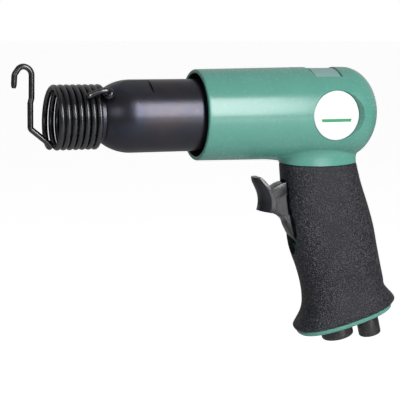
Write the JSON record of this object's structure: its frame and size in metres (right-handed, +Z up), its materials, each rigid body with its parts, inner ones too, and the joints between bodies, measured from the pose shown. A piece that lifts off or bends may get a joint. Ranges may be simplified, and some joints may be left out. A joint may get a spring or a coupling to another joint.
{
  "type": "pneumatic rivet gun",
  "caption": "Pistol-grip air hammer for driving rivets: blued barrel with hooked coil retainer spring, painted one-piece housing and handle, rubber grip, trigger, air inlet and regulator.",
  "frame": {"origin": "middle of the whole tool's box, about 50 mm below the barrel's axis in the tool's middle plane", "axes": "+X along the barrel's axis from the muzzle towards the rear, +Z up from the handle to the barrel, +Y towards the right-hand side of the tool for a user behind it who points the muzzle forward"},
  "size_m": [0.2134, 0.049, 0.1532],
  "materials": {
    "green_paint": "smooth gloss enamel on cast aluminium",
    "blued_steel": "black oxide, soft sheen",
    "spring_wire": "black oxide spring wire, light oil",
    "grip_rubber": "moulded, fine pebble grain, matte",
    "trigger_black": "glossy black moulding",
    "black_oxide": "black oxide, fine grit texture",
    "seal_rubber": "moulded seal rubber",
    "ground_steel": "ground and polished",
    "plain_steel": "turned steel",
    "brass": "turned brass",
    "white_label": "satin vinyl",
    "silver_label": "satin metallised film"
  },
  "bodies": {
    "body": {"housing": "green_paint", "barrel": "blued_steel", "valve_cage_front": "plain_steel", "valve_cage_rear": "plain_steel", "valve_dowel": "ground_steel", "cage_cushion": "seal_rubber", "barrel_set_screw": "plain_steel", "side_label_left": "white_label", "side_label_right": "white_label", "top_label": "silver_label", "trigger_pin": "ground_steel", "throttle_bushing": "brass", "stem_o_ring": "seal_rubber", "throttle_seat": "brass", "throttle_plug": "plain_steel", "throttle_spring": "ground_steel", "cross_port_plug": "brass", "inlet_bushing": "black_oxide", "inlet_strainer": "brass", "inlet_o_ring": "seal_rubber", "regulator_pin": "ground_steel", "regulator_o_ring": "seal_rubber", "grip_sleeve": "grip_rubber"},
    "retainer": {"retainer_spring": "spring_wire"},
    "piston": {"piston": "ground_steel"},
    "cycle_valve": {"cycle_valve": "ground_steel"},
    "trigger": {"trigger": "trigger_black"},
    "throttle": {"throttle_stem": "ground_steel", "throttle_poppet": "seal_rubber"},
    "regulator": {"regulator_valve": "black_oxide"}
  },
  "joints": [
    {"name": "trigger_pull", "type": "hinge", "parent": "body", "child": "trigger", "pos_m": [0.0512, 0, -0.0197], "axis": [0, 1, 0], "range_deg": [0, 6], "stiffness_Nm_per_rad": 1.2, "springref_deg": -5.73},
    {"name": "throttle_slide", "type": "slide", "parent": "body", "child": "throttle", "axis": [0.9703, 0, 0.2419], "range_m": [0, 0.0023], "deforming": ["throttle_spring"]},
    {"name": "piston_stroke", "type": "slide", "parent": "body", "child": "piston", "axis": [1, 0, 0], "range_m": [-0.0635, 0]},
    {"name": "valve_shift", "type": "slide", "parent": "body", "child": "cycle_valve", "axis": [1, 0, 0], "range_m": [-0.0014, 0]},
    {"name": "retainer_turn", "type": "hinge", "parent": "body", "child": "retainer", "pos_m": [-0.0714, 0, 0.0499], "axis": [1, 0, 0], "range_deg": [-360, 0]},
    {"name": "regulator_turn", "type": "hinge", "parent": "body", "child": "regulator", "pos_m": [0.09144, 0, -0.06416], "axis": [0.2419, 0, -0.9703], "range_deg": [0, 270]}
  ],
  "couplings": [
    {"joint": "throttle_slide", "follows": "trigger_pull", "m_per_rad": 0.02113}
  ]
}
